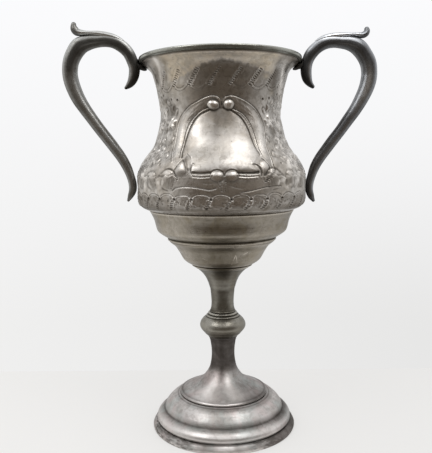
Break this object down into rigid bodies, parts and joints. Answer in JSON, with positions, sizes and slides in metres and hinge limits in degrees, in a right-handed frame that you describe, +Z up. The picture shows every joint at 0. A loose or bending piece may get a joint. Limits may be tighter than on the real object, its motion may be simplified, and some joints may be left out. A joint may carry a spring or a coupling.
{
  "type": "two-handled goblet",
  "caption": "Pewter loving cup: waisted bowl with embossed ornament on a knopped stem and domed foot, with looped handles at its sides.",
  "frame": {"origin": "centre of the foot's resting face, on the turned axis", "axes": "+Z up along the turned axis, +X towards the right-hand handle, -Y towards the front of the ornament"},
  "size_m": [0.1946, 0.1056, 0.2558],
  "materials": {
    "rim_plate": "worn aged pewter, half polished, dulled in the hollows",
    "bowl_plate": "aged pewter, embossed and punched, brighter on raised work, brown tarnish in patches",
    "lower_bowl_plate": "aged pewter with olive brown tarnish",
    "stem_plate": "aged pewter, darker",
    "foot_plate": "aged pewter, lighter, worn bright on its mouldings",
    "handle_plate": "cast pewter, dark, worn brighter on its back"
  },
  "bodies": {
    "root": {"rim_moulding": "rim_plate", "bowl_body": "bowl_plate", "lower_bowl": "lower_bowl_plate", "upper_stem": "stem_plate", "knop": "stem_plate", "lower_stem": "stem_plate", "foot_dome": "foot_plate", "foot_ring": "foot_plate", "handle_left": "handle_plate", "handle_right": "handle_plate", "thumb_leaf_left": "handle_plate", "thumb_leaf_right": "handle_plate"}
  },
  "joints": []
}
